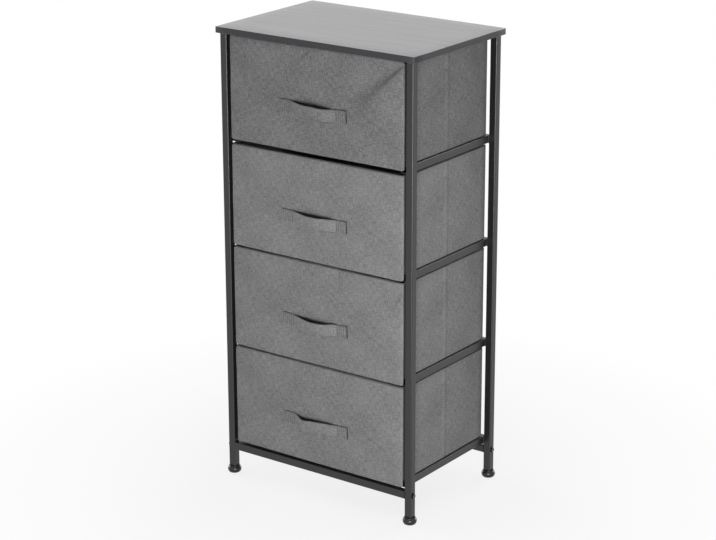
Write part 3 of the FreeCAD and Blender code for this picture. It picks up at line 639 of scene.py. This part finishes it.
def paintLight(piece, spec):  # painted light and shade: the drawer's painted level, painted highlights and painted shade on its cloth
    x, y, z = pointsOf(piece, spec)
    front, body, far = y < 4, y > 6, np.abs(x)

    def past(value, start, width):
        return unit((value - start) / width)
    off = y - leaf["hinge"]
    # painted highlight in front of the side crease, and painted shade behind it
    lines = (paintedLights["pale"] * bell(off + 5, 3.5) - paintedLights["dark"] * bell(off - 3, 2.2)) * (far > 190)
    # painted shade towards the rear corners of the sides
    back = past(y, 248, 20) * past(far, 182, 14)
    # painted highlight along the front panel's right rim
    rim = np.exp(-np.maximum(cover["panel"] - x, 0) / 2.0) * front
    # painted shade in the strip beside each end of the front panel
    shut = past(far, cover["panel"] - 0.3, 0.5) * (y > 2.5) * unit((9 - y) / 2)
    # painted shadow line along the top of the body, under the rails
    hem = past(z, spec["rim"] - 2.2, 0.6) * body
    # painted shade on the folds' steep flanks
    foldShading = sum(foldShade(fold, x, z) for fold in spec["folds"]) * front
    bow = strapBow(spec, x) * front
    rise = z - strapLevel(spec, x)
    loose = unit(bow / 3)
    # painted shade behind the loose strap, a painted soft shadow above it and a painted shadow line under it
    behind = loose * unit((12.5 - np.abs(rise)) / 1.5)
    above = loose * unit(bow / 12) * bell(np.maximum(rise - 11, 0), 9) * (rise > 0)
    under = loose * bell(rise + 12.5 + 0.27 * bow, 1.2)
    # the sides are painted a little darker than the front
    setPaintedLight(piece, spec["dye"] + lines - paintedLights["back"] * back ** 2 + paintedLights["rim"] * rim
            - paintedLights["side"] * past(far, 197, 2) * body - foldShading - paintedLights["shut"] * np.maximum(hem, shut)
            - np.maximum(paintedLights["behind"] * behind, paintedLights["above"] * above) - paintedLights["under"] * under)
    return piece


def coverPiece(number, spec):
    origin = (0, cover["front"], spec["base"])
    front = Sewing()
    low, high = (-cover["panel"], 0, 0), (cover["panel"], cover["slab"], cover["height"])
    roundedBlock(front, low, high, cover["edge"], cover["spacing"], frontShape(spec))
    panel = front.finish("panel", ["linen"], origin)
    rim, floor, bend = spec["rim"], spec["floor"], cover["bend"]
    profile = [(out, rim + up) for out, up in cover["rim"]]
    profile += [(0, z) for z in np.linspace(rim - 3, floor + bend, round((rim - floor) / 4))]
    profile += [(bend * (math.cos(turn) - 1), floor + bend * (1 - math.sin(turn)))
                for turn in np.radians([22.5, 45, 67.5, 90])]
    loop = loopAround(cover["half"], cover["start"], cover["rear"], cover["round"], cover["steps"])
    tub = Sewing()
    sweptTub(tub, loop, profile, leafRelief(spec, cover["bulge"]))
    body = tub.finish("body", ["linen"], origin)
    thicken(body, cover["wall"])
    piece = paintLight(joined([panel, body], "drawer_%d_fabric_cover" % number), spec)
    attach(piece, "drawer_%d" % number)
    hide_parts("drawer_%d_cover" % number)


lining = {"half": 194.2, "front": 5.7, "rear": 264.6, "round": 2.0, "steps": 5.0, "keepFront": 4.4,
          "rim": ((4.2, -1.1), (4.2, -0.5), (3.7, 0.1), (2.1, 0.35), (0.5, 0.1), (-0.1, -0.7)),
          "proud": 0.3, "above": 2.2, "swell": 0.25, "wall": 0.6}


def liningPiece(number, spec):
    rim, floor = spec["rim"], spec["floor"] + lining["above"]
    profile = [(out, rim + up) for out, up in lining["rim"]]
    profile += [(-lining["proud"], z) for z in np.linspace(rim - 3, floor + 2, round((rim - floor) / 5))]
    profile += [(-lining["proud"] - 0.6, floor + 0.6), (-lining["proud"] - 2, floor)]
    loop = loopAround(lining["half"], lining["front"], lining["rear"], lining["round"], lining["steps"], 3)
    tub = Sewing()
    sweptTub(tub, loop, profile, leafRelief(spec, lining["swell"], -1.0), lining["keepFront"])
    origin = (0, cover["front"], spec["base"])
    piece = tub.finish("drawer_%d_inner_lining" % number, ["lining"], origin, outwards=False)
    inwards(piece, (0, 0, spec["base"] + 100))
    thicken(piece, lining["wall"])
    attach(piece, "drawer_%d" % number)
    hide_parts("drawer_%d_lining" % number)


def inwards(piece, middle):  # turn an open shell so that its faces look at a point inside it
    mesh = piece.data
    floor = max(mesh.polygons, key=lambda face: face.area)
    if floor.normal.dot(Vector(middle) * mm - floor.center) < 0:
        mesh.flip_normals()


stiffeners = {
    "bottom_board": {"name": "bottom_insert", "finish": "lining", "inset": 0.0, "corner": 2.5,
                     "plane": [0, 1], "wavy": 0.35},
    "front_board": {"name": "front_stiffener", "finish": "fibre", "inset": 2.2, "corner": 6.0,
                    "plane": [0, 2], "wavy": 0.0}}


def stiffener(number, spec, node):  # a board with eased corners in place of its plain node
    form = stiffeners[node]
    low, high = (np.array(corner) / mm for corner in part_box("drawer_%d_%s" % (number, node)))
    low[0], high[0] = low[0] + form["inset"], high[0] - form["inset"]
    plane = form["plane"]

    def shape(spot, normal):
        spot = roundCorners(spot, low[plane], high[plane], form["corner"], plane)
        waves = np.abs(softNoise(spot[..., 0], spot[..., 1], 85, spec["seed"] + 9))
        spot[..., 2] += form["wavy"] * waves * unit(normal[..., 2])
        return spot
    block = Sewing()
    roundedBlock(block, low, high, 0.9, 9.0, shape, steps=2)
    piece = block.finish("drawer_%d_%s" % (number, form["name"]), [form["finish"]])
    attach(piece, "drawer_%d" % number)
    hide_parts("drawer_%d_%s" % (number, node))


strap = {"half": 75.0, "tab": 27.0, "bend": 6.0, "thick": 1.7, "width": 24.0, "round": 0.75, "step": 0.6,
         "middle": 84.0, "rows": (51.5, 56.5, 61.5, 66.5, 71.5), "bar": 9.6, "sunk": 0.7, "needle": 0.8,
         "lift": (0.3, 1.6), "lean": 0.6, "cup": 0.5, "wave": 0.15}


def strapBow(spec, x):  # how far the loose band stands out: straight runs with soft bends
    places, heights = zip(*spec["bow"])
    shifts = np.linspace(-1, 1, 9)
    weights = np.cos(shifts * 1.4) ** 2
    return sum(weight * np.interp(x + strap["bend"] * shift, places, heights)
               for shift, weight in zip(shifts, weights)) / weights.sum()


def strapLevel(spec, x):  # the height of the band's middle line
    return strap["middle"] + splineThrough(zip(strapAt, spec["strap"]))(x)


def strapMiddle(spec, x):  # the band's middle line: how far out, and how high
    rest = frontRelief(spec, x, np.full(x.shape, strap["middle"]))
    end = unit((np.abs(x) - 66) / 9) ** 2
    lift = 0.3 + end * np.where(x > 0, strap["lift"][1], strap["lift"][0])
    return rest + strapBow(spec, x) + strap["thick"] / 2 + lift, strapLevel(spec, x)


def strapSection():  # the band's outline, with round edges and points along both faces
    corner, out, up = strap["round"], strap["thick"] / 2 - strap["round"], strap["width"] / 2 - strap["round"]
    ring = []
    for turn, (a, b) in zip((0, 90, 180, 270), ((1, 1), (-1, 1), (-1, -1), (1, -1))):
        for k in range(4):
            angle = math.radians(turn + 30 * k)
            ring.append((a * out + corner * math.cos(angle), b * up + corner * math.sin(angle)))
    section = []
    for point, after in zip(ring, ring[1:] + ring[:1]):
        section.append(point)
        if math.dist(point, after) > 4:
            section += [[a + (b - a) * t for a, b in zip(point, after)] for t in np.linspace(0, 1, 13)[1:-1]]
    return np.array(section + section[:1])


def strapPiece(number, spec):
    half, step, halfWidth = strap["half"], strap["step"], strap["width"] / 2
    inner = half - strap["tab"]
    x = np.r_[np.arange(-half, -inner, step), np.linspace(-inner, inner, 60),
              np.arange(inner + step, half + 0.01, step)]
    out, up = strapMiddle(spec, x)
    tangent = np.stack([np.gradient(x), -np.gradient(out)], -1)
    tangent /= np.linalg.norm(tangent, axis=-1, keepdims=True)
    section = strapSection()
    lengths = lengthsAlong(section)
    face, across = section[:, 0], section[:, 1]
    x, out, up = x[:, None], out[:, None], up[:, None]
    far = np.abs(x)
    onTab = unit((far - inner - 2) / 2)
    pressed = np.maximum(sum(bell(far - row, strap["needle"]) for row in strap["rows"]),
                         onTab * bell(np.abs(across) - strap["bar"], strap["needle"]))
    shallow = unit((halfWidth - np.abs(across)) / 1.2)
    lift = np.where(face > 0, face - strap["sunk"] * pressed * shallow, face)
    loose = unit(1 - (x / inner) ** 2)  # away from the tabs the band cups a little
    cup = strap["cup"] * loose * (across / halfWidth) ** 2
    wave = strap["wave"] * softNoise(x, across * 1.5 + 9, 7, spec["seed"] + 3)
    lift = lift + cup + strap["lean"] * (across / halfWidth) * (1 - 0.5 * loose) + wave
    spot = np.stack([x + tangent[:, 1:] * lift, -out - tangent[:, :1] * lift, up + across], -1)
    spot[:, -1] = spot[:, 0]
    band = Sewing()
    band.grid(spot, np.stack(np.broadcast_arrays(x + 400, lengths), -1))
    for end in (0, -1):
        cap = np.stack([spot[end], np.broadcast_to(spot[end].mean(0), spot[end].shape)])
        band.grid(cap, cap[..., 1:])
    piece = band.finish("drawer_%d_strap" % number, ["strap"], (0, cover["front"], spec["base"]))
    x, y, z = pointsOf(piece, spec)
    # painted shadow along the band's top edge and at its right end, and darker along the stitch rows
    edge = unit((z - strapLevel(spec, x) - halfWidth + 0.9) / 0.7)
    end = unit((x - half + 0.7) / 0.5)
    rows = sum(bell(np.abs(x) - row, 0.6) for row in strap["rows"]) * (y < -strap["thick"])
    dark = np.maximum(paintedLights["strapEdge"] * edge, paintedLights["behind"] * end) + paintedLights["row"] * rows
    setPaintedLight(piece, spec["dye"] - dark)
    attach(piece, "drawer_%d" % number)
    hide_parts("drawer_%d_handle" % number)


# Geometry Nodes: small pieces set out along seams
def seamTree():
    group = bpy.data.node_groups.new("set_along_seams", "GeometryNodeTree")
    tree = Tree(group)
    for name in ("Geometry", "Spacing", "Length", "Width", "Height", "Uneven", "Material"):
        kind = name if name in ("Geometry", "Material") else "Float"
        group.interface.new_socket(name=name, in_out="INPUT", socket_type="NodeSocket" + kind)
    group.interface.new_socket(name="Geometry", in_out="OUTPUT", socket_type="NodeSocketGeometry")
    source = tree.add("NodeGroupInput")
    seams = tree.add("GeometryNodeMeshToCurve", {}, [source["Geometry"]])
    values = {"Curve": seams, "Length": source["Spacing"]}
    even = tree.add("GeometryNodeResampleCurve", {"mode": "LENGTH"}, values)
    normal = tree.add("GeometryNodeInputNamedAttribute", {"data_type": "FLOAT_VECTOR"}, {"Name": "lift"})
    aligned = "FunctionNodeAlignRotationToVector"
    turn = tree.add(aligned, {"axis": "X"}, {"Vector": tree.add("GeometryNodeInputTangent")})
    turn = tree.add(aligned, {"axis": "Z", "pivot_axis": "X"}, {"Rotation": turn, "Vector": normal})
    bead = tree.add("GeometryNodeMeshUVSphere", {}, {"Segments": 8, "Rings": 5, "Radius": 0.5})
    jitter = tree.add("FunctionNodeRandomValue", {"data_type": "FLOAT"}, {"Min": 0.0, "Max": 1.0, "Seed": 7})
    bigger = 1 + (jitter - 0.5) * source["Uneven"]
    parts = [source[part] * bigger for part in ("Length", "Width", "Height")]
    size = tree.add("ShaderNodeCombineXYZ", {}, parts)
    beads = {"Points": even, "Instance": bead, "Rotation": turn, "Scale": size}
    real = tree.add("GeometryNodeRealizeInstances", {}, [tree.add("GeometryNodeInstanceOnPoints", {}, beads)])
    smooth = tree.add("GeometryNodeSetShadeSmooth", {}, {"Geometry": real})
    done = tree.add("GeometryNodeSetMaterial", {}, {"Geometry": smooth, "Material": source["Material"]})
    tree.add("NodeGroupOutput", {}, [done])
    return group


def grown(name, group, lines, form, material, body):  # the tree runs once, and its plain mesh is kept
    holder = show(name, seamMesh(lines))
    modifier = holder.modifiers.new("nodes", "NODES")
    modifier.node_group = group
    inputs = {key: form[key.lower()] * mm for key in ("Spacing", "Length", "Width", "Height")}
    inputs.update({"Uneven": form["uneven"], "Material": finishes[material]})
    for socket in group.interface.items_tree:
        if socket.in_out == "INPUT" and socket.name in inputs:
            modifier[socket.identifier] = inputs[socket.name]
    settle(holder)
    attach(holder, body)


def seamMesh(lines):  # lines of (point, outward) pairs in millimetres
    points, lifts, edges = [], [], []
    for line in lines:
        start = len(points)
        for point, lift in line:
            points.append([part * mm for part in point])
            lifts.append(lift)
        edges += [(start + k, start + k + 1) for k in range(len(line) - 1)]
    mesh = bpy.data.meshes.new("seam_lines")
    mesh.from_pydata(points, edges, [])
    layer = mesh.attributes.new("lift", "FLOAT_VECTOR", "POINT")
    layer.data.foreach_set("vector", np.array(lifts, float).ravel())
    return mesh


stitch = {"spacing": 3.4, "length": 2.7, "width": 0.55, "height": 0.44, "uneven": 0.12, "hemDrop": 6.0,
          "hemSteps": 6.0, "sunk": 0.6, "outer": 0.05, "inner": 0.35}


def stitchPiece(number, spec, tree):
    origin, bar, count = np.array((0, cover["front"], spec["base"])), strap["bar"], 9

    def onStrap(x, rise):
        out, up = strapMiddle(spec, x)
        points = zip(x, -out - stitch["sunk"] - strap["lean"] * rise / 12, up + rise)
        return [(origin + point, (0, -1, 0)) for point in points]
    lines = []
    for side in (-1, 1):
        for row in strap["rows"]:
            lines.append(onStrap(np.full(count, side * row), np.linspace(-bar, bar, count)))
        x = side * np.linspace(strap["rows"][0], strap["rows"][-1], count)
        lines += [onStrap(x, np.full(count, rise)) for rise in (-bar, bar)]
    level = spec["rim"] - stitch["hemDrop"]
    points, outwards, _ = loopAround(cover["half"], 5.6, cover["rear"], cover["round"], stitch["hemSteps"])
    hem = np.concatenate([points, np.full((len(points), 1), level)], 1)[None]
    push = leafRelief(spec, cover["bulge"])(hem, outwards[None])[0] + stitch["outer"]
    lines.append([(origin + (*(p + o * d), level), (*o, 0))
                  for p, o, d in zip(points, outwards, push) if p[1] > 7])
    points, outwards, _ = loopAround(lining["half"], lining["front"], lining["rear"], lining["round"],
                                     stitch["hemSteps"], 3)
    lines.append([(origin + (*(p - o * stitch["inner"]), level), (*-o, 0)) for p, o in zip(points, outwards)])
    grown("drawer_%d_stitches" % number, tree, lines, stitch, "thread", "drawer_%d" % number)


seams = seamTree()
for number, spec in drawers.items():
    coverPiece(number, spec)
    liningPiece(number, spec)
    for node in stiffeners:
        stiffener(number, spec, node)
    strapPiece(number, spec)
    stitchPiece(number, spec, seams)
    print("drawer %d: cover, lining, insert, strap and stitches" % number)


# Top board
def boardPiece():
    low, high = (np.array(corner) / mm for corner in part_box("top_board"))

    def shape(spot, normal):
        return roundCorners(spot, low[:2], high[:2], board["corner"], [0, 1])
    block = Sewing()
    roundedBlock(block, low, high, board["radius"], board["spacing"], shape, slots=(1, 1, 0))
    piece = block.finish("top_board_laminated", ["laminate", "edge"])
    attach(piece, "frame")
    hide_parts("top_board")


boardPiece()
print("top board: laminate and edge band")


# Frame: weld beads where each rail meets its posts
weld = {"spacing": 1.25, "length": 2.0, "width": 3.0, "height": 1.3, "uneven": 0.25, "lean": 0.7,
        "reach": 203.9, "ends": ((-126.25, 1), (131.75, -1)), "levels": (681.0, 477.5, 274.0, 70.5),
        "rises": (0.8, 5, 10, 14.2)}


def weldPiece(tree):
    lines = []
    for level in weld["levels"]:
        for side in (-1, 1):
            for y, toward in weld["ends"]:
                lift = (weld["lean"] * side, weld["lean"] * toward, 0)
                lines.append([((side * weld["reach"], y, level + rise), lift) for rise in weld["rises"]])
    grown("weld_beads", tree, lines, weld, "weld", "frame")


weldPiece(seams)
print("frame: weld beads")


# Feet: a turned foot and its threaded stud under each post
foot = {"name": "_levelling_foot", "finish": "plastic", "slot": "black_plastic", "node": "foot_",
        "across": {"left": -211.5, "right": 211.5}, "deep": {"front": -133.75, "rear": 139.25}, "around": 40,
        "profile": ((0, 12.8), (8.2, 12.8), (8.45, 13), (8.55, 13.7), (8.9, 14), (10.2, 14), (10.7, 13.8),
                    (11.1, 13.2), (11.1, 12.6), (10.75, 12.2), (10.75, 11.8), (11.7, 11.4), (12.6, 10.3),
                    (13.25, 8.7), (13.5, 6.9), (13.35, 5), (12.8, 3.2), (11.9, 1.6), (10.9, 0.5), (10.2, 0),
                    (0, 0))}
stud = {"name": "_threaded_stud", "finish": "steel", "slot": "plain_steel", "node": "stud_", "around": 24,
        "low": 5.0, "high": 34.0, "crest": 2.98, "root": 2.45, "pitch": 1.0, "steps": 6, "taper": 1.2}


def turned(form, corner, radii, heights, x, y):  # radii may change round the axis
    angles = np.linspace(0, 2 * math.pi, form["around"] + 1)
    spot = [x + radii * np.cos(angles), y + radii * np.sin(angles), heights[:, None]]
    spot = np.stack(np.broadcast_arrays(*spot), -1)
    spot[:, -1] = spot[:, 0]
    turning = Sewing()
    turning.grid(spot, spot[..., [0, 2]])
    piece = turning.finish(corner + form["name"], [form["finish"]])
    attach(piece, corner + "_foot")
    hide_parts(form["node"] + corner)


def footPieces():
    radii, heights = (np.array(part, float) for part in zip(*foot["profile"]))
    levels = np.arange(stud["low"], stud["high"] + 0.01, stud["pitch"] / stud["steps"])
    turns = np.linspace(0, 1, stud["around"] + 1)
    wave = np.abs(2 * ((levels[:, None] / stud["pitch"] - turns) % 1) - 1)
    depth = unit((levels - stud["low"]) / stud["taper"]) * unit((stud["high"] - levels) / stud["taper"])
    thread = stud["root"] + (stud["crest"] - stud["root"]) * wave * depth[:, None]
    end = np.zeros((1, len(turns)))
    thread, levels = np.r_[end, thread, end], np.r_[levels[0], levels, levels[-1]]
    for deep, y in foot["deep"].items():
        for across, x in foot["across"].items():
            turned(foot, deep + "_" + across, radii[:, None], heights, x, y)
            turned(stud, deep + "_" + across, thread, levels, x, y)


footPieces()
print("feet: turned feet and threaded studs")


# Camera, floor and light
camera = {"place": (2.355, -3.25225, 1.757), "turns": ((35.96, "Z"), (71.658, "X"), (-0.137, "Z")),
          "lens": 110.61, "sensor": 36.0, "far": 80.0}


def placeCamera():
    data = bpy.data.cameras.new("camera")
    data.lens, data.clip_end = camera["lens"], camera["far"]
    data.sensor_width, data.sensor_fit = camera["sensor"], "HORIZONTAL"
    holder = show("camera", data)
    holder.matrix_world = Matrix.Translation(camera["place"])
    for turn, axis in camera["turns"]:  # round to the side, up from straight down, and a slight roll
        holder.matrix_world = holder.matrix_world @ Matrix.Rotation(math.radians(turn), 4, axis)
    scene.camera = holder


ground = {"half": 30, "bounce": 178, "paper": (250, 254), "cloud": (700, 700, 700),
          "glow": ((0.3, 0.8), (0.9, 1.0))}


def layFloor():
    finish = Finish("studio_floor")
    cloud = finish.noise(ground["cloud"])
    path = finish.add("ShaderNodeLightPath")
    seen = finish.math("MAXIMUM", path["Is Camera Ray"], path["Is Glossy Ray"])
    away = finish.vector("LENGTH", finish.add("ShaderNodeTexCoord")["Object"])
    paper = finish.mix(cloud, *(grey(level) for level in ground["paper"]))
    paper = finish.mix(seen, grey(ground["bounce"]), paper)
    matte = finish.add("ShaderNodeBsdfDiffuse", {}, {"Color": paper})
    glow = finish.add("ShaderNodeEmission", {}, {"Color": (1, 1, 1, 1), "Strength": 1.0})
    mixed = finish.add("ShaderNodeMixShader", {}, [seen * finish.ramp(away, *ground["glow"]), matte, glow])
    finish.add("ShaderNodeOutputMaterial", {}, {"Surface": mixed})
    mesh = bpy.data.meshes.new("studio_floor")
    corners = [(x * ground["half"], y * ground["half"], 0) for x, y in ((-1, -1), (1, -1), (1, 1), (-1, 1))]
    mesh.from_pydata(corners, [], [(0, 1, 2, 3)])
    mesh.materials.append(finish.material)
    show("studio_floor", mesh)


light = {"room": 0.17,
         "softBox": {"power": 64.0, "at": (1.5, -1.87, 0.3), "aim": (0, -0.05, 0.4), "size": (1.3, 0.9)},
         "suns": {"front": (0.2, (-0.3, -1, 0.05), 30.0), "above": (0.4, (0.1, -0.1, 1), 60.0),
                  "back": (1.9, (0.12, 1, 0.2), 40.0), "left": (1.9, (-1, 0.08, 0.2), 40.0)}}


def setLights():
    world = bpy.data.worlds.new("studio")
    scene.world = world
    world.use_nodes = True
    world.node_tree.nodes.clear()
    tree = Tree(world.node_tree)
    path = tree.add("ShaderNodeLightPath")
    seen = tree.math("MAXIMUM", path["Is Camera Ray"], path["Is Glossy Ray"])
    seen = tree.math("MAXIMUM", seen, path["Is Transmission Ray"])
    strength = light["room"] + seen * (1 - light["room"])
    back = tree.add("ShaderNodeBackground", {}, {"Color": (1, 1, 1, 1), "Strength": strength})
    tree.add("ShaderNodeOutputWorld", {}, {"Surface": back})
    box = light["softBox"]
    data = bpy.data.lights.new("soft_box", "AREA")
    data.shape, data.energy = "RECTANGLE", box["power"]
    data.size, data.size_y = box["size"]
    hang(data, Vector(box["at"]) - Vector(box["aim"])).location = box["at"]
    for name, (power, toward, soft) in light["suns"].items():
        data = bpy.data.lights.new(name, "SUN")
        data.energy, data.angle = power, math.radians(soft)
        hang(data, Vector(toward))


def hang(data, toward):  # a lamp that shines from a direction
    lamp = show(data.name, data)
    lamp.rotation_euler = toward.to_track_quat("Z", "Y").to_euler()
    lamp.visible_camera = False
    return lamp


placeCamera()
layFloor()
setLights()
scene.view_settings.view_transform = "Standard"
print("camera, floor and light")
